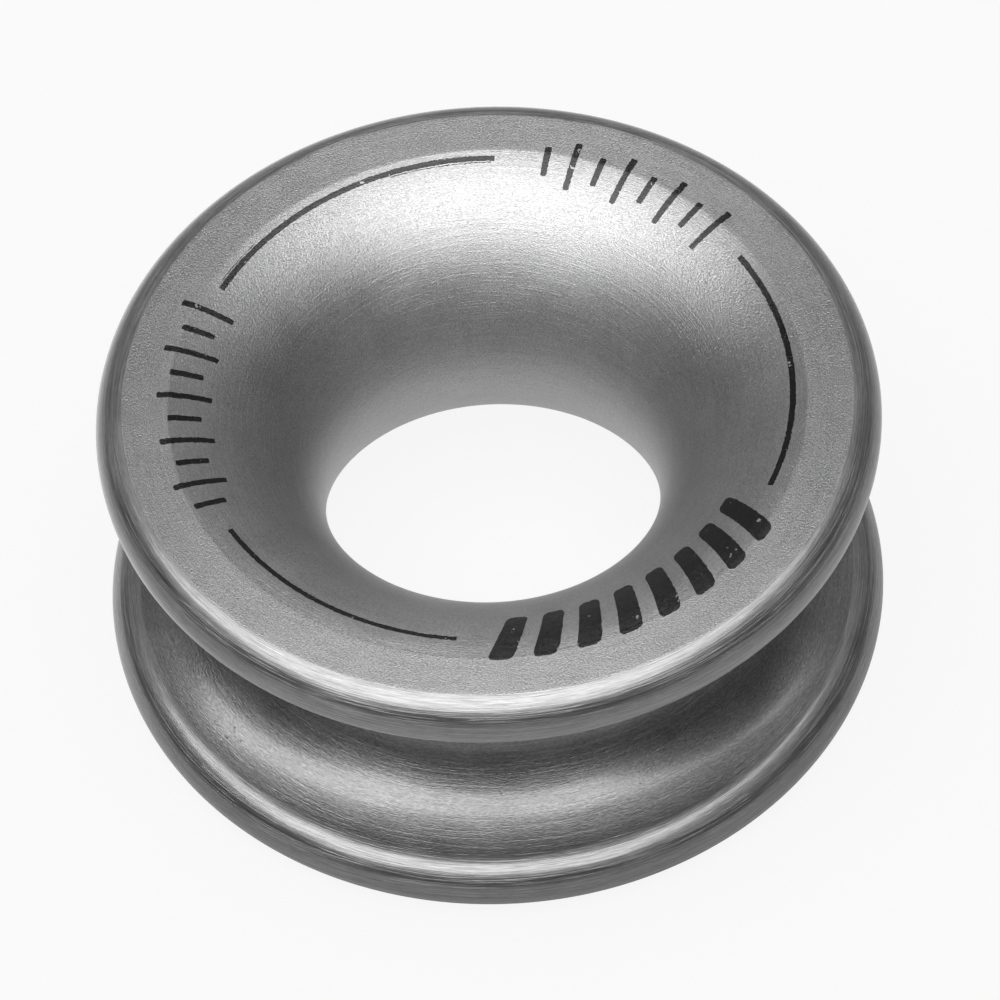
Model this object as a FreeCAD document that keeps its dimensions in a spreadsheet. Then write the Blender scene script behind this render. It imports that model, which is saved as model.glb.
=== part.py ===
# High load eye: one aluminium ring turned in one piece, with a bell-mouthed
# way for a line through it and a round-bottomed lashing groove around it.
# Millimetres. +Z is the ring's axis, and the origin is its centre at half height.
import FreeCAD, Part
import os
import Sketcher

NODE = "eye_ring"

# Driving dimensions, each a size that can be changed by itself
DIMENSIONS = {
    "bore_diameter": 22.0,      # the throat, the narrowest place of the way for the line
    "throat_wall": 6.2,         # metal between the throat and the bottom of the lashing groove
    "groove_depth": 8.4,        # from the rims' outermost circle to the bottom of the groove
    "groove_width": 13.8,       # between the two edges where the groove begins
    "rim_thickness": 4.1,       # each rim, from the groove's edge to the flat face
    "groove_edge_inset": 2.0,   # the groove's edge, in from the outermost circle
    "face_edge_inset": 1.8,     # the flat face's outer edge, in from the outermost circle
    "face_width": 2.93,         # the flat ring left between the bell mouth and the rim
}

# Lengths that follow from them
DERIVED = {
    "bore_radius": "=bore_diameter / 2",
    "root_radius": "=bore_radius + throat_wall",
    "outer_radius": "=root_radius + groove_depth",
    "half_height": "=groove_width / 2 + rim_thickness",
    "groove_edge_radius": "=outer_radius - groove_edge_inset",
    "face_outer_radius": "=outer_radius - face_edge_inset",
    "face_inner_radius": "=face_outer_radius - face_width",
}

# A sketch's own names for the ends of a line or arc, its origin and its horizontal axis
START = 1
END = 2
ORIGIN = (-1, 1)
RADIAL_AXIS = -1


def fill_sheet(doc):
    sheet = doc.addObject("Spreadsheet::Sheet", "Dimensions")
    cells = dict(DIMENSIONS, **DERIVED)
    for row, (name, content) in enumerate(cells.items(), start=1):
        sheet.set("A%d" % row, name)
        sheet.set("B%d" % row, str(content))
        sheet.setAlias("B%d" % row, name)
    doc.recompute()
    return sheet


def origin_plane(body, role):
    return next(f for f in body.Origin.OriginFeatures if f.Role == role)


def point(radius, height):
    """Place in the section: distance from the ring's axis, and height."""
    return FreeCAD.Vector(radius, height, 0)


def arc_between(start, end, leftmost=None, rightmost=None):
    """Arc that runs counter-clockwise and comes out to a given radius at its side."""
    chord = (end - start).Length
    side = leftmost if rightmost is None else rightmost
    rise = abs((start.x + end.x) / 2 - side)
    radius = (chord * chord / 4 + rise * rise) / (2 * rise)
    centre_x = side + radius if rightmost is None else side - radius
    centre = point(centre_x, (start.y + end.y) / 2)
    circle = Part.Circle(centre, FreeCAD.Vector(0, 0, 1), radius)
    return Part.ArcOfCircle(circle, circle.parameter(start), circle.parameter(end))


def draw_section(sheet, sketch):
    """Half of the cut ring: two flat faces, two rims, the groove and the bell-mouthed way."""
    top = sheet.half_height
    groove_top = sheet.groove_width / 2
    face_in = sheet.face_inner_radius
    face_out = sheet.face_outer_radius
    edge = sheet.groove_edge_radius
    outer = sheet.outer_radius

    upper_face = sketch.addGeometry(Part.LineSegment(point(face_in, top), point(face_out, top)))
    upper_rim = sketch.addGeometry(
        arc_between(point(edge, groove_top), point(face_out, top), rightmost=outer)
    )
    groove = sketch.addGeometry(
        arc_between(point(edge, groove_top), point(edge, -groove_top), leftmost=sheet.root_radius)
    )
    lower_rim = sketch.addGeometry(
        arc_between(point(face_out, -top), point(edge, -groove_top), rightmost=outer)
    )
    lower_face = sketch.addGeometry(Part.LineSegment(point(face_out, -top), point(face_in, -top)))
    way = sketch.addGeometry(
        arc_between(point(face_in, top), point(face_in, -top), leftmost=sheet.bore_radius)
    )

    # construction: the outermost circle seen as a line, and the narrowest points of way and groove
    outermost = sketch.addGeometry(Part.LineSegment(point(outer, -top), point(outer, top)), True)
    throat = sketch.addGeometry(Part.Point(point(sheet.bore_radius, 0)), True)
    root = sketch.addGeometry(Part.Point(point(sheet.root_radius, 0)), True)

    def tie(*constraint):
        return sketch.addConstraint(Sketcher.Constraint(*constraint))

    def bind(name, *constraint):
        index = tie(*constraint, float(sheet.get(name)))
        sketch.setExpression("Constraints[%d]" % index, "Dimensions." + name)

    # one closed outline
    tie("Coincident", upper_face, END, upper_rim, END)
    tie("Coincident", upper_rim, START, groove, START)
    tie("Coincident", groove, END, lower_rim, END)
    tie("Coincident", lower_rim, START, lower_face, START)
    tie("Coincident", lower_face, END, way, END)
    tie("Coincident", way, START, upper_face, START)

    # the lower half mirrors the upper half
    tie("Horizontal", upper_face)
    tie("Symmetric", upper_face, START, lower_face, END, RADIAL_AXIS)
    tie("Symmetric", upper_face, END, lower_face, START, RADIAL_AXIS)
    tie("Symmetric", groove, START, groove, END, RADIAL_AXIS)

    # both rims touch the outermost circle
    tie("Symmetric", outermost, START, outermost, END, RADIAL_AXIS)
    tie("Tangent", upper_rim, outermost)
    tie("Tangent", lower_rim, outermost)

    # the throat lies on the way and the root on the groove, both at half height
    tie("PointOnObject", throat, START, RADIAL_AXIS)
    tie("PointOnObject", throat, START, way)
    tie("PointOnObject", root, START, RADIAL_AXIS)
    tie("PointOnObject", root, START, groove)

    bind("bore_radius", "DistanceX", *ORIGIN, throat, START)
    bind("root_radius", "DistanceX", *ORIGIN, root, START)
    bind("outer_radius", "DistanceX", *ORIGIN, outermost, END)
    bind("face_inner_radius", "DistanceX", *ORIGIN, upper_face, START)
    bind("face_outer_radius", "DistanceX", *ORIGIN, upper_face, END)
    bind("groove_edge_radius", "DistanceX", *ORIGIN, groove, START)
    bind("half_height", "DistanceY", *ORIGIN, upper_face, START)
    bind("half_height", "DistanceY", *ORIGIN, outermost, END)
    bind("groove_width", "DistanceY", groove, END, groove, START)


def turn_ring(doc, sheet):
    """The whole ring, as the lathe leaves it."""
    body = doc.addObject("PartDesign::Body", "EyeRing")
    body.Label = NODE
    section = body.newObject("Sketcher::SketchObject", "RingSection")
    section.AttachmentSupport = (origin_plane(body, "XZ_Plane"), "")
    section.MapMode = "FlatFace"
    draw_section(sheet, section)
    doc.recompute()
    ring = body.newObject("PartDesign::Revolution", "TurnedRing")
    ring.Profile = section
    ring.ReferenceAxis = (section, ["V_Axis"])
    ring.Angle = 360
    doc.recompute()
    return body


def check(doc, body):
    for thing in doc.Objects:
        if "Invalid" in thing.State or "Error" in thing.State:
            raise RuntimeError("%s did not build: %s" % (thing.Name, thing.State))
    if body.Shape.isNull() or not body.Shape.isValid():
        raise RuntimeError("%s has no valid shape" % body.Label)
    if len(body.Shape.Solids) != 1:
        raise RuntimeError("%s is not one solid" % body.Label)


doc = FreeCAD.newDocument("HighLoadEye")
sheet = fill_sheet(doc)
eye = turn_ring(doc, sheet)
check(doc, eye)

box = eye.Shape.optimalBoundingBox()
print("%s: %.2f across, %.2f high, %.0f mm3" % (eye.Label, box.XLength, box.ZLength, eye.Shape.Volume))

os.makedirs("parts", exist_ok=True)
eye.Shape.exportStep("parts/%s.step" % eye.Label)
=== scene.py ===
import bpy
import bmesh
import math
from mathutils import Matrix, Vector


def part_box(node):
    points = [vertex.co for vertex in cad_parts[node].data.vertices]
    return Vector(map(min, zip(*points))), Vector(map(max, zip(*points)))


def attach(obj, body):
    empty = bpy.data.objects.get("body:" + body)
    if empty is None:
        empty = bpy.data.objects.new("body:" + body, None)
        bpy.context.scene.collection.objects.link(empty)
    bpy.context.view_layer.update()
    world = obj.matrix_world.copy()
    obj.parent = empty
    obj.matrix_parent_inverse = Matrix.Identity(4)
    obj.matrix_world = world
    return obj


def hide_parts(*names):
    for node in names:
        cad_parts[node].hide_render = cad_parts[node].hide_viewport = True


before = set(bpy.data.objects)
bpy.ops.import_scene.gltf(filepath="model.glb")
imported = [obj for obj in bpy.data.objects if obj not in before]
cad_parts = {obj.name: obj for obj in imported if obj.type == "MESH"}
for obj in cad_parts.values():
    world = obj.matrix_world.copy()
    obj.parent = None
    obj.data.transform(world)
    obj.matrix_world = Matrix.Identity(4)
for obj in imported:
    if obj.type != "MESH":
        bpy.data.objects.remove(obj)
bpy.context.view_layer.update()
print("frame loaded")

mm = 0.001
ringNode = "eye_ring"
_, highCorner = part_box(ringNode)
outerRadius = highCorner.x
halfHeight = highCorner.z


# ring: one section of faces and arcs, spun around the axis
ringShape = {
    "boreRadius": 11.0 * mm,
    "grooveRootRadius": 17.2 * mm,
    "grooveEdgeInset": 2.0 * mm,    # edge of the groove, in from the outermost circle
    "faceEdgeInset": 1.8 * mm,      # outer edge of the flat face, in from the outermost circle
    "faceWidth": 2.93 * mm,
    "rimThickness": 4.1 * mm,
    "edgeBreak": 0.08 * mm,         # small round on every turned edge
    "edgeBreakSteps": 3,
    "turnSteps": 320,
    "bellSteps": 66,
    "rimSteps": 26,
    "grooveSteps": 50,
    "faceSteps": 8,
}
faceOuterRadius = outerRadius - ringShape["faceEdgeInset"]
faceInnerRadius = faceOuterRadius - ringShape["faceWidth"]
grooveEdgeRadius = outerRadius - ringShape["grooveEdgeInset"]
grooveHalf = halfHeight - ringShape["rimThickness"]
faceMiddleRadius = (faceInnerRadius + faceOuterRadius) / 2
wallRadius = (ringShape["boreRadius"] + ringShape["grooveRootRadius"]) / 2
weldDistance = 0.001 * mm
flatTolerance = 0.01 * mm


def touchingArc(start, end, side):
    # centre and sweep of the arc from start to end, each a (radius, height),
    # that touches the circle of radius side
    inset = abs(side - start[0])
    endInset = abs(side - end[0])
    rise = start[1] - end[1]
    a = endInset - inset
    b = 2 * inset * rise
    c = inset * endInset * (inset - endInset) - inset * rise * rise
    drop = -2 * c / (b + math.copysign(math.sqrt(b * b - 4 * a * c), b))
    radius = (inset * inset + drop * drop) / (2 * inset)
    outward = 1 if side > start[0] else -1
    centre = (side - outward * radius, start[1] - drop)
    angles = [math.atan2(p[1] - centre[1], outward * (p[0] - centre[0])) for p in (start, end)]
    return centre, outward * (angles[1] - angles[0])


def drawArc(bm, tip, end, side, steps):
    centre, sweep = touchingArc((tip.co.x, tip.co.z), end, side)
    spun = bmesh.ops.spin(bm, geom=[tip], cent=(centre[0], 0, centre[1]), axis=(0, -1, 0),
                          angle=sweep, steps=steps)
    return next(g for g in spun["geom_last"] if isinstance(g, bmesh.types.BMVert))


def drawLine(bm, tip, end, steps):
    step = (Vector((end[0], 0, end[1])) - tip.co) / steps
    for _ in range(steps):
        grown = bmesh.ops.extrude_vert_indiv(bm, verts=[tip])
        tip = grown["verts"][0]
        tip.co += step
    return tip


def ringSection(bm):
    # clockwise from the upper face's inner edge: face, rim, groove, rim, face, bell-mouthed way
    shape = ringShape
    tip = bm.verts.new((faceInnerRadius, 0, halfHeight))
    tip = drawLine(bm, tip, (faceOuterRadius, halfHeight), shape["faceSteps"])
    tip = drawArc(bm, tip, (grooveEdgeRadius, grooveHalf), outerRadius, shape["rimSteps"])
    tip = drawArc(bm, tip, (grooveEdgeRadius, -grooveHalf), shape["grooveRootRadius"], shape["grooveSteps"])
    tip = drawArc(bm, tip, (faceOuterRadius, -halfHeight), outerRadius, shape["rimSteps"])
    tip = drawLine(bm, tip, (faceInnerRadius, -halfHeight), shape["faceSteps"])
    drawArc(bm, tip, (faceInnerRadius, halfHeight), shape["boreRadius"], shape["bellSteps"])
    bmesh.ops.remove_doubles(bm, verts=bm.verts[:], dist=weldDistance)


def breakEdges(bm):
    corners = [(r, z) for z in (halfHeight, -halfHeight) for r in (faceInnerRadius, faceOuterRadius)]
    corners += [(grooveEdgeRadius, grooveHalf), (grooveEdgeRadius, -grooveHalf)]
    near = 2 * weldDistance

    def onCorner(vert):
        radius = math.hypot(vert.co.x, vert.co.y)
        return any(abs(radius - r) < near and abs(vert.co.z - z) < near for r, z in corners)

    marked = {v for v in bm.verts if onCorner(v)}
    edges = [e for e in bm.edges if e.verts[0] in marked and e.verts[1] in marked]
    bmesh.ops.bevel(bm, geom=edges, affect="EDGES", offset=ringShape["edgeBreak"],
                    segments=ringShape["edgeBreakSteps"], profile=0.5, material=-1)


def finishOf(face):
    # which turned surface a face of the ring lies on
    middle = face.calc_center_median()
    radius = math.hypot(middle.x, middle.y)
    height = abs(middle.z)
    if height > halfHeight - flatTolerance:
        return "face"
    if height < grooveHalf:
        return "groove" if radius > wallRadius else "bell"
    return "rim" if radius > faceMiddleRadius else "bell"


def buildRing(finishes):
    mesh = bpy.data.meshes.new("turnedRing")
    bm = bmesh.new()
    ringSection(bm)
    bmesh.ops.spin(bm, geom=bm.verts[:] + bm.edges[:], cent=(0, 0, 0), axis=(0, 0, 1),
                   angle=math.tau, steps=ringShape["turnSteps"], use_merge=True)
    bmesh.ops.remove_doubles(bm, verts=bm.verts[:], dist=weldDistance)
    breakEdges(bm)
    bmesh.ops.recalc_face_normals(bm, faces=bm.faces[:])
    order = list(finishes)
    for face in bm.faces:
        face.smooth = True
        face.material_index = order.index(finishOf(face))
    bm.to_mesh(mesh)
    bm.free()
    for material in finishes.values():
        mesh.materials.append(material)
    ring = bpy.data.objects.new("turnedRing", mesh)
    bpy.context.scene.collection.objects.link(ring)
    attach(ring, "root")
    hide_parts(ringNode)
    print("ring", len(mesh.polygons), "faces")


nodeSpacing = 180


class Graph:
    # short way to place and join nodes in one tree
    def __init__(self, tree):
        self.tree = tree
        self.nodes = tree.nodes
        self.links = tree.links
        self.column = 0

    def add(self, kind, inputs=None, **settings):
        node = self.nodes.new(kind)
        node.location = (self.column * nodeSpacing, 0)
        self.column += 1
        for name, value in settings.items():
            setattr(node, name, value)
        for name, value in (inputs or {}).items():
            self.put(node.inputs[name], value)
        return node

    def put(self, socket, value):
        if isinstance(value, bpy.types.NodeSocket):
            self.links.new(value, socket)
        else:
            socket.default_value = value

    def math(self, operation, first, second=0.0, third=0.0, clamp=False):
        node = self.add("ShaderNodeMath", operation=operation, use_clamp=clamp)
        for socket, value in zip(node.inputs, (first, second, third)):
            self.put(socket, value)
        return node.outputs[0]

    def length(self, first, second):
        squares = self.math("MULTIPLY_ADD", first, first, self.math("MULTIPLY", second, second))
        return self.math("SQRT", squares)

    def ramp(self, value, low, high, toLow=0.0, toHigh=1.0):
        node = self.add("ShaderNodeMapRange", {"Value": value, "From Min": low, "From Max": high,
                                               "To Min": toLow, "To Max": toHigh})
        return node.outputs["Result"]

    def mix(self, share, first, second):
        node = self.add("ShaderNodeMix", data_type="FLOAT")
        for socket, value in zip((node.inputs[0], node.inputs[2], node.inputs[3]), (share, first, second)):
            self.put(socket, value)
        return node.outputs[0]

    def noise(self, vector, scale, detail, roughness, fourth=None):
        inputs = {"Vector": vector, "Scale": scale, "Detail": detail, "Roughness": roughness}
        if fourth is None:
            return self.add("ShaderNodeTexNoise", inputs, noise_dimensions="3D").outputs["Fac"]
        node = self.add("ShaderNodeTexNoise", inputs, noise_dimensions="4D")
        self.put(node.inputs["W"], fourth)
        return node.outputs["Fac"]

    def vector(self, x, y, z):
        return self.add("ShaderNodeCombineXYZ", {"X": x, "Y": y, "Z": z}).outputs[0]

    def group(self, name, inputs=None):
        return self.add("ShaderNodeGroup", node_tree=groups[name], inputs=inputs).outputs


def newGroup(name, inputs, outputs):
    tree = bpy.data.node_groups.new(name, "ShaderNodeTree")
    for label, value in inputs.items():
        socket = tree.interface.new_socket(label, in_out="INPUT", socket_type="NodeSocketFloat")
        socket.default_value = value
    for label in outputs:
        tree.interface.new_socket(label, in_out="OUTPUT", socket_type="NodeSocketFloat")
    graph = Graph(tree)
    return tree, graph, graph.add("NodeGroupInput").outputs, graph.add("NodeGroupOutput").inputs


def ringPlaces(graph):
    # object coordinates in millimetres, as one vector and apart, and the distance from the axis
    spot = graph.add("ShaderNodeTexCoord").outputs["Object"]
    scaled = graph.add("ShaderNodeVectorMath", operation="SCALE")
    graph.put(scaled.inputs[0], spot)
    scaled.inputs["Scale"].default_value = 1 / mm
    xyz = graph.add("ShaderNodeSeparateXYZ", {"Vector": scaled.outputs[0]})
    x, y, z = xyz.outputs
    return scaled.outputs[0], x, y, z, graph.length(x, y)


# noises of the turned and blasted surface, as detail and roughness
surfaceNoise = {
    "turned": (1.0, 0.6),
    "deepMarks": (0.06, 0.14),      # a turning line deepens between these two values
    "cloudScale": 0.35,             # clouds per millimetre
    "cloud": (3.0, 0.55),
}


def turnedNoise(graph, places, density, turns):
    # noise that is dense across the section and drawn out around the ring, without a seam
    x, y, z, radius = places
    across = graph.math("MULTIPLY", radius, density)
    up = graph.math("MULTIPLY", z, density)
    aroundX = graph.math("MULTIPLY", graph.math("DIVIDE", x, radius), turns)
    aroundY = graph.math("MULTIPLY", graph.math("DIVIDE", y, radius), turns)
    value = graph.noise(graph.vector(across, up, aroundX), 1.0, *surfaceNoise["turned"], aroundY)
    return graph.math("SUBTRACT", value, 0.5)


def turningLinesGroup():
    # lines left by the lathe: a soft pattern, and the few deeper marks in it
    inputs = {"Lines per mm": 7.0, "Lines around": 8.0}
    tree, graph, given, out = newGroup("turningLines", inputs, ["Lines", "Marks"])
    _, *places = ringPlaces(graph)
    lines = turnedNoise(graph, places, given["Lines per mm"], given["Lines around"])
    graph.put(out["Lines"], lines)
    graph.put(out["Marks"], graph.ramp(lines, *surfaceNoise["deepMarks"]))
    return tree


def blastGrainGroup():
    # bead blasting: a fine grain, drawn out a little by the turning under it,
    # and the cloudiness of the anodising
    inputs = {"Grains per mm": 11.0, "Grains around": 100.0}
    tree, graph, given, out = newGroup("blastGrain", inputs, ["Grain", "Cloud"])
    spot, *places = ringPlaces(graph)
    graph.put(out["Grain"], turnedNoise(graph, places, given["Grains per mm"], given["Grains around"]))
    cloud = graph.noise(spot, surfaceNoise["cloudScale"], *surfaceNoise["cloud"])
    graph.put(out["Cloud"], graph.math("SUBTRACT", cloud, 0.5))
    return tree


# printed marks, seen from above: stripes, graduation ticks and leaning blocks
# around one slightly off-centre circle
markPlan = {
    "centre": (0.05, 0.475),        # lengths are in millimetres, angles in degrees
    "radius": 19.77,
    "lowest": 6.0,                  # only the upper side is printed
    "wobbleNoise": (5.0, 3.0, 0.7),     # of the edges: scale, detail, roughness
    "chipNoise": (1.4, 3.0, 0.65),      # of the chips
    "stripes": [
        {"start": 334.3, "end": 391.3, "offset": 0.04, "width": 0.40},
        {"start": 86.3, "end": 149.8, "offset": -0.045, "width": 0.40},
        {"start": 209.7, "end": 261.7, "offset": -0.11, "width": 0.38},
        {"start": 87.0, "end": 107.0, "offset": -0.35, "width": 0.06},      # the print slipped here
        {"start": 138.0, "end": 148.0, "offset": 0.26, "width": 0.05},
    ],
    "rows": [
        {"start": 37.4, "pitch": 5.2, "count": 8, "offset": 0.0, "width": 0.44,
         "tall": 3.6, "short": 2.2, "lean": 0.0, "corner": 0.12},
        {"start": 153.0, "pitch": 5.2, "count": 10, "offset": 0.0, "width": 0.44,
         "tall": 3.6, "short": 2.2, "lean": 0.0, "corner": 0.12},
        {"start": 267.5, "pitch": 7.75, "count": 8, "offset": -0.3, "width": 1.55,
         "tall": 4.2, "short": 4.2, "lean": 0.35, "corner": 0.45},
    ],
}


def printedMarksGroup():
    tree, graph, given, out = newGroup("printedMarks", {"Edge wobble mm": 0.2, "Chipped": 0.675}, ["Ink"])
    spot, x, y, z, _ = ringPlaces(graph)
    wobble = graph.math("SUBTRACT", graph.noise(spot, *markPlan["wobbleNoise"]), 0.5)
    wobble = graph.math("MULTIPLY", wobble, given["Edge wobble mm"])
    px = graph.math("SUBTRACT", x, markPlan["centre"][0])
    py = graph.math("SUBTRACT", y, markPlan["centre"][1])
    across = graph.math("ADD", graph.math("SUBTRACT", graph.length(px, py), markPlan["radius"]), wobble)
    turn = graph.math("ARCTAN2", py, px)
    degrees = graph.math("MODULO", graph.math("MULTIPLY_ADD", turn, math.degrees(1), 360.0), 360.0)
    perDegree = math.radians(1) * markPlan["radius"]        # millimetres

    def within(value, half):
        return graph.math("LESS_THAN", value, half)

    def both(first, second):
        return graph.math("MULTIPLY", first, second)

    def fromStart(start):
        return graph.math("MODULO", graph.math("ADD", degrees, 360.0 - start % 360), 360.0)

    def fromMiddle(offset):
        return graph.math("ABSOLUTE", graph.math("SUBTRACT", across, offset))

    masks = []
    for stripe in markPlan["stripes"]:
        inWidth = within(fromMiddle(stripe["offset"]), stripe["width"] / 2)
        masks.append(both(inWidth, within(fromStart(stripe["start"]), stripe["end"] - stripe["start"])))
    for row in markPlan["rows"]:
        corner = row["corner"]
        shift = graph.math("MULTIPLY", across, row["lean"] / perDegree)
        steps = graph.math("DIVIDE", graph.math("ADD", fromStart(row["start"]), shift), row["pitch"])
        number = graph.math("FLOOR", steps)
        share = graph.math("SUBTRACT", steps, number)
        offCentre = graph.math("ABSOLUTE", graph.math("SUBTRACT", share, 0.5))
        side = graph.math("MULTIPLY_ADD", offCentre, row["pitch"] * perDegree, wobble)
        odd = graph.math("ABSOLUTE", graph.math("MODULO", number, 2.0))
        halfTall = graph.ramp(odd, 0.0, 1.0, row["tall"] / 2 - corner, row["short"] / 2 - corner)
        beyondSide = graph.math("MAXIMUM", graph.math("SUBTRACT", side, row["width"] / 2 - corner), 0.0)
        pastEnd = graph.math("SUBTRACT", fromMiddle(row["offset"]), halfTall)
        beyondEnd = graph.math("MAXIMUM", pastEnd, 0.0)
        block = within(graph.length(beyondSide, beyondEnd), corner)
        fromRowMiddle = graph.math("SUBTRACT", number, (row["count"] - 1) / 2)
        inRow = within(graph.math("ABSOLUTE", fromRowMiddle), row["count"] / 2)
        masks.append(both(block, inRow))
    ink = masks[0]
    for mask in masks[1:]:
        ink = graph.math("MAXIMUM", ink, mask)
    onTop = graph.math("GREATER_THAN", z, markPlan["lowest"])
    whole = graph.math("LESS_THAN", graph.noise(spot, *markPlan["chipNoise"]), given["Chipped"])
    graph.put(out["Ink"], both(both(ink, onTop), whole))
    return tree


# small dark pits in the groove: angle in degrees, distance from the axis, height and size in millimetres
pitPlan = [
    (215.25, 21.68, -6.48, 0.13),
    (218.0, 21.98, -6.58, 0.13),
    (215.75, 22.47, -6.72, 0.12),
    (294.25, 20.88, -6.11, 0.10),
]


def smallPitsGroup():
    tree, graph, given, out = newGroup("smallPits", {"Edge": 0.5}, ["Pit"])
    spot = ringPlaces(graph)[0]
    deepest = 0.0
    for angle, radius, height, size in pitPlan:
        place = (radius * math.cos(math.radians(angle)), radius * math.sin(math.radians(angle)), height)
        away = graph.add("ShaderNodeVectorMath", operation="DISTANCE")
        graph.put(away.inputs[0], spot)
        away.inputs[1].default_value = place
        edge = graph.math("MULTIPLY", given["Edge"], size)
        pit = graph.math("DIVIDE", graph.math("SUBTRACT", size, away.outputs["Value"]), edge, clamp=True)
        deepest = graph.math("MAXIMUM", pit, deepest)
    graph.put(out["Pit"], deepest)
    return tree


groups = {
    "turningLines": turningLinesGroup(),
    "blastGrain": blastGrainGroup(),
    "printedMarks": printedMarksGroup(),
    "smallPits": smallPitsGroup(),
}


# hard anodised aluminium and the print on it
anodised = {
    "grey": 0.30,
    "inkGrey": 0.055,
    "inkRoughness": 0.2,            # the print is glossier than the metal
    "pitTone": 0.3,
    "coat": 0.75,                   # clear oxide layer over the metal
    "coatIndex": 1.6,
    "cloudRoughness": 0.1,
    "quarterTurn": 0.25,            # highlights spread across the turning lines
}
# finish of each turned surface; a tone is a share of the grey, a depth is a height in metres
# each shade scales the one anodised grey; it is partly the surface's own finish and partly painted light,
# with painted shade making the groove's recess darker and a painted highlight making the bell lighter
finishValues = {
    "face": {
        "roughness": 0.38, "anisotropy": 0.454, "coatRoughness": 0.38, "shade": 1.0,
        "linesPerMm": 7.0, "linesAround": 6.0, "lineTone": 0.4,
        "lineDepth": 0.001 * mm, "markShare": 0.0,
        "grainsPerMm": 12.0, "grainsAround": 180.0, "grainTone": 1.6,
        "grainDepth": 0.03 * mm, "cloudTone": 0.2,
    },
    "rim": {
        "roughness": 0.39, "anisotropy": 0.23, "coatRoughness": 0.13, "shade": 0.862,
        "linesPerMm": 20.0, "linesAround": 4.3, "lineTone": 1.4,
        "lineDepth": 0.011 * mm, "markShare": 0.5,
        "grainsPerMm": 11.0, "grainsAround": 32.0, "grainTone": 0.6,
        "grainDepth": 0.006 * mm, "cloudTone": 0.2,
    },
    "groove": {
        "roughness": 0.354, "anisotropy": 0.519, "coatRoughness": 0.167, "shade": 0.814,
        "linesPerMm": 7.0, "linesAround": 4.0, "lineTone": 0.4,
        "lineDepth": 0.003 * mm, "markShare": 1.5,
        "grainsPerMm": 14.0, "grainsAround": 70.0, "grainTone": 1.1,
        "grainDepth": 0.02 * mm, "cloudTone": 0.3,
    },
    "bell": {
        "roughness": 0.322, "anisotropy": 0.71, "coatRoughness": 0.52, "shade": 1.12,
        "linesPerMm": 8.0, "linesAround": 3.3, "lineTone": 0.3,
        "lineDepth": 0.003 * mm, "markShare": 1.5,
        "grainsPerMm": 20.0, "grainsAround": 130.0, "grainTone": 1.7,
        "grainDepth": 0.03 * mm, "cloudTone": 0.2,
    },
}


def anodisedFinish(name):
    values = finishValues[name]
    material = bpy.data.materials.new(name + "Anodised")
    material.use_nodes = True
    graph = Graph(material.node_tree)
    graph.nodes.clear()
    shader = graph.add("ShaderNodeBsdfPrincipled")
    output = graph.add("ShaderNodeOutputMaterial")
    graph.links.new(shader.outputs[0], output.inputs["Surface"])

    lines = graph.group("turningLines", {"Lines per mm": values["linesPerMm"],
                                         "Lines around": values["linesAround"]})
    blast = graph.group("blastGrain", {"Grains per mm": values["grainsPerMm"],
                                       "Grains around": values["grainsAround"]})
    # the shade puts painted light into the colour along with the finish's own tone: painted shade in the
    # groove, a painted highlight on the bell
    tone = graph.math("MULTIPLY_ADD", lines["Lines"], values["lineTone"], values["shade"])
    tone = graph.math("MULTIPLY_ADD", blast["Grain"], values["grainTone"], tone)
    tone = graph.math("MULTIPLY_ADD", blast["Cloud"], values["cloudTone"], tone)
    if name == "groove":
        tone = graph.mix(graph.group("smallPits")["Pit"], tone, anodised["pitTone"])
    grey = graph.math("MULTIPLY", tone, anodised["grey"])
    rough = graph.math("MULTIPLY_ADD", blast["Cloud"], anodised["cloudRoughness"], values["roughness"])
    if name in ("face", "bell"):
        ink = graph.group("printedMarks")["Ink"]
        grey = graph.mix(ink, grey, anodised["inkGrey"])
        rough = graph.mix(ink, rough, anodised["inkRoughness"])
        graph.put(shader.inputs["Coat Weight"], graph.mix(ink, anodised["coat"], 0.0))
    else:
        shader.inputs["Coat Weight"].default_value = anodised["coat"]
    shader.inputs["Coat Roughness"].default_value = values["coatRoughness"]
    shader.inputs["Coat IOR"].default_value = anodised["coatIndex"]
    colour = graph.add("ShaderNodeCombineColor", {"Red": grey, "Green": grey, "Blue": grey}).outputs[0]
    graph.put(shader.inputs["Base Color"], colour)
    shader.inputs["Metallic"].default_value = 1.0
    graph.put(shader.inputs["Roughness"], rough)
    shader.inputs["Anisotropic"].default_value = values["anisotropy"]
    shader.inputs["Anisotropic Rotation"].default_value = anodised["quarterTurn"]
    around = graph.add("ShaderNodeTangent", direction_type="RADIAL", axis="Z")
    graph.put(shader.inputs["Tangent"], around.outputs[0])
    height = graph.math("MULTIPLY_ADD", lines["Marks"], values["markShare"], lines["Lines"])
    lineBump = graph.add("ShaderNodeBump", {"Height": height, "Distance": values["lineDepth"],
                                            "Strength": 1.0})
    grainBump = graph.add("ShaderNodeBump", {"Height": blast["Grain"], "Distance": values["grainDepth"],
                                             "Strength": 1.0, "Normal": lineBump.outputs[0]})
    graph.put(shader.inputs["Normal"], grainBump.outputs[0])
    return material


ringFinishes = {name: anodisedFinish(name) for name in finishValues}
buildRing(ringFinishes)


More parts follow.
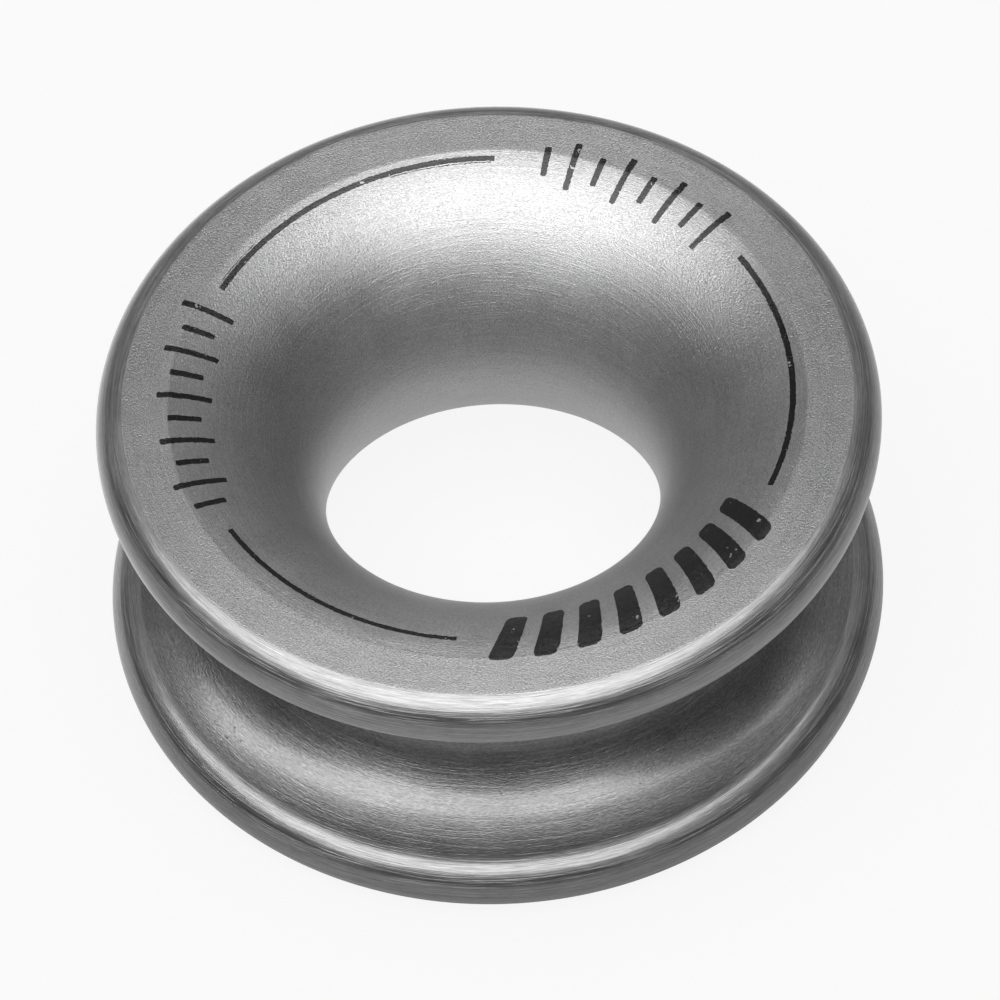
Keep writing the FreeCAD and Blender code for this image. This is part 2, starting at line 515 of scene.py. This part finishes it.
# stage: pale floor, one large overhead soft light, dark studio that is dimly bright on the far side
studio = {
    "floorSize": 6.0,
    "floorGap": 0.02 * mm,          # under the ring's lower face
    "floorGrey": 0.40,
    "floorGlow": 0.9,               # share of the floor that the camera sees as plain white
    "floorInMetal": 0.087,          # white that reflections see on the whole floor
    "paintedLightPool": {                      # and a painted pool of light that only reflections see, soft, around and behind the ring and fading out in front of it
        "centre": (-0.022, 0.034),
        "core": 0.020,
        "edge": 0.080,
        "front": (-0.018, -0.002),
        "level": 0.437,
    },
    "lightHeight": 1.0,
    "lightSize": (1.458, 1.351),
    "lightOffset": (-0.189, -0.229),
    "lightRadiance": 3.69,
    "roomFront": 0.0,               # brightness of the room; the camera sees plain white instead
    "roomLeft": 0.0,
    "roomRight": 0.106,
    "roomFar": 0.315,
    "leftToRight": (-0.6, 0.6),     # where one side of the room fades into another, as directions
    "sidesToFront": (-0.2, -0.9),
    "sidesToFar": (0.3, 0.8),
}


def buildFloor():
    bm = bmesh.new()
    bmesh.ops.create_grid(bm, x_segments=1, y_segments=1, size=studio["floorSize"] / 2)
    bmesh.ops.translate(bm, verts=bm.verts[:], vec=(0, 0, -halfHeight - studio["floorGap"]))
    mesh = bpy.data.meshes.new("studioFloor")
    bm.to_mesh(mesh)
    bm.free()
    material = bpy.data.materials.new("paleFloor")
    material.use_nodes = True
    graph = Graph(material.node_tree)
    graph.nodes.clear()
    grey = studio["floorGrey"]
    matte = graph.add("ShaderNodeBsdfDiffuse", {"Color": (grey, grey, grey, 1)})
    white = graph.add("ShaderNodeEmission", {"Color": (1, 1, 1, 1), "Strength": 1.0})
    path = graph.add("ShaderNodeLightPath").outputs
    seen = graph.add("ShaderNodeMixShader")
    graph.put(seen.inputs[0], graph.math("MULTIPLY", path["Is Camera Ray"], studio["floorGlow"]))
    graph.links.new(matte.outputs[0], seen.inputs[1])
    graph.links.new(white.outputs[0], seen.inputs[2])

    # painted pool of light on the floor: extra glow that only reflections see, strongest behind and left of
    # the ring
    spot = graph.add("ShaderNodeTexCoord").outputs["Object"]
    place = graph.add("ShaderNodeSeparateXYZ", {"Vector": spot}).outputs
    paintedLightPool = studio["paintedLightPool"]
    away = graph.length(graph.math("SUBTRACT", place["X"], paintedLightPool["centre"][0]),
                        graph.math("SUBTRACT", place["Y"], paintedLightPool["centre"][1]))
    level = graph.ramp(away, paintedLightPool["edge"], paintedLightPool["core"])
    level = graph.math("MULTIPLY", level, graph.ramp(place["Y"], *paintedLightPool["front"]))
    level = graph.math("MULTIPLY_ADD", level, paintedLightPool["level"], studio["floorInMetal"])
    mirrored = graph.math("MAXIMUM", path["Is Glossy Ray"], path["Is Transmission Ray"])
    level = graph.math("MULTIPLY", level, mirrored)
    glow = graph.add("ShaderNodeEmission", {"Color": (1, 1, 1, 1), "Strength": level})
    whole = graph.add("ShaderNodeAddShader")
    graph.links.new(seen.outputs[0], whole.inputs[0])
    graph.links.new(glow.outputs[0], whole.inputs[1])

    # from below the floor is see-through, so that the ring's underside can be looked at
    clear = graph.add("ShaderNodeBsdfTransparent")
    eitherSide = graph.add("ShaderNodeMixShader")
    graph.put(eitherSide.inputs[0], graph.add("ShaderNodeNewGeometry").outputs["Backfacing"])
    graph.links.new(whole.outputs[0], eitherSide.inputs[1])
    graph.links.new(clear.outputs[0], eitherSide.inputs[2])
    output = graph.add("ShaderNodeOutputMaterial")
    graph.links.new(eitherSide.outputs[0], output.inputs["Surface"])
    mesh.materials.append(material)
    floor = bpy.data.objects.new("studioFloor", mesh)
    bpy.context.scene.collection.objects.link(floor)


def buildLight():
    width, depth = studio["lightSize"]
    light = bpy.data.lights.new("overheadSoftbox", "AREA")
    light.shape = "RECTANGLE"
    light.size = width
    light.size_y = depth
    light.energy = studio["lightRadiance"] * math.pi * width * depth
    box = bpy.data.objects.new("overheadSoftbox", light)
    offset = studio["lightOffset"]
    box.location = (offset[0], offset[1], studio["lightHeight"])
    bpy.context.scene.collection.objects.link(box)


def buildWorld():
    world = bpy.data.worlds.new("studioRoom")
    bpy.context.scene.world = world
    world.use_nodes = True
    graph = Graph(world.node_tree)
    graph.nodes.clear()
    toward = graph.add("ShaderNodeTexCoord").outputs["Generated"]
    direction = graph.add("ShaderNodeSeparateXYZ", {"Vector": toward})
    right = direction.outputs["X"]
    ahead = direction.outputs["Y"]
    sides = graph.ramp(right, *studio["leftToRight"], studio["roomLeft"], studio["roomRight"])
    near = graph.mix(graph.ramp(ahead, *studio["sidesToFront"]), sides, studio["roomFront"])
    room = graph.mix(graph.ramp(ahead, *studio["sidesToFar"]), near, studio["roomFar"])
    path = graph.add("ShaderNodeLightPath").outputs
    level = graph.math("MAXIMUM", room, path["Is Camera Ray"])
    shade = graph.add("ShaderNodeBackground", {"Color": (1, 1, 1, 1), "Strength": level})
    output = graph.add("ShaderNodeOutputWorld")
    graph.links.new(shade.outputs[0], output.inputs["Surface"])


# camera: the photograph's place, solved from the ring's circles
cameraView = {
    "elevation": 52.724,            # degrees above the floor
    "roll": -3.101,
    "distance": 715.5 * mm,
    "aside": -0.4535 * mm,          # ring's centre, right of the middle of the view
    "below": 0.0926 * mm,           # and below it
    "focalWidths": 10.883,          # focal length in widths of the picture
    "sensor": 36.0,                 # millimetres
    "clip": (0.01, 20.0),
}


def buildCamera():
    view = cameraView
    elevation = math.radians(view["elevation"])
    roll = math.radians(view["roll"])
    right = Vector((1, 0, 0))
    forward = Vector((0, math.cos(elevation), -math.sin(elevation)))
    down = forward.cross(right)
    rolledRight = math.cos(roll) * right - math.sin(roll) * down
    rolledDown = math.sin(roll) * right + math.cos(roll) * down
    place = -(view["aside"] * rolledRight + view["below"] * rolledDown + view["distance"] * forward)
    turn = Matrix((rolledRight, -rolledDown, -forward)).transposed()
    data = bpy.data.cameras.new("photoCamera")
    data.sensor_width = view["sensor"]
    data.sensor_fit = "HORIZONTAL"
    data.lens = view["focalWidths"] * view["sensor"]
    data.clip_start, data.clip_end = view["clip"]
    camera = bpy.data.objects.new("photoCamera", data)
    camera.matrix_world = Matrix.Translation(place) @ turn.to_4x4()
    bpy.context.scene.collection.objects.link(camera)
    bpy.context.scene.camera = camera


buildFloor()
buildLight()
buildWorld()
buildCamera()
bpy.context.scene.view_settings.view_transform = "Standard"
print("stage, light and camera set")
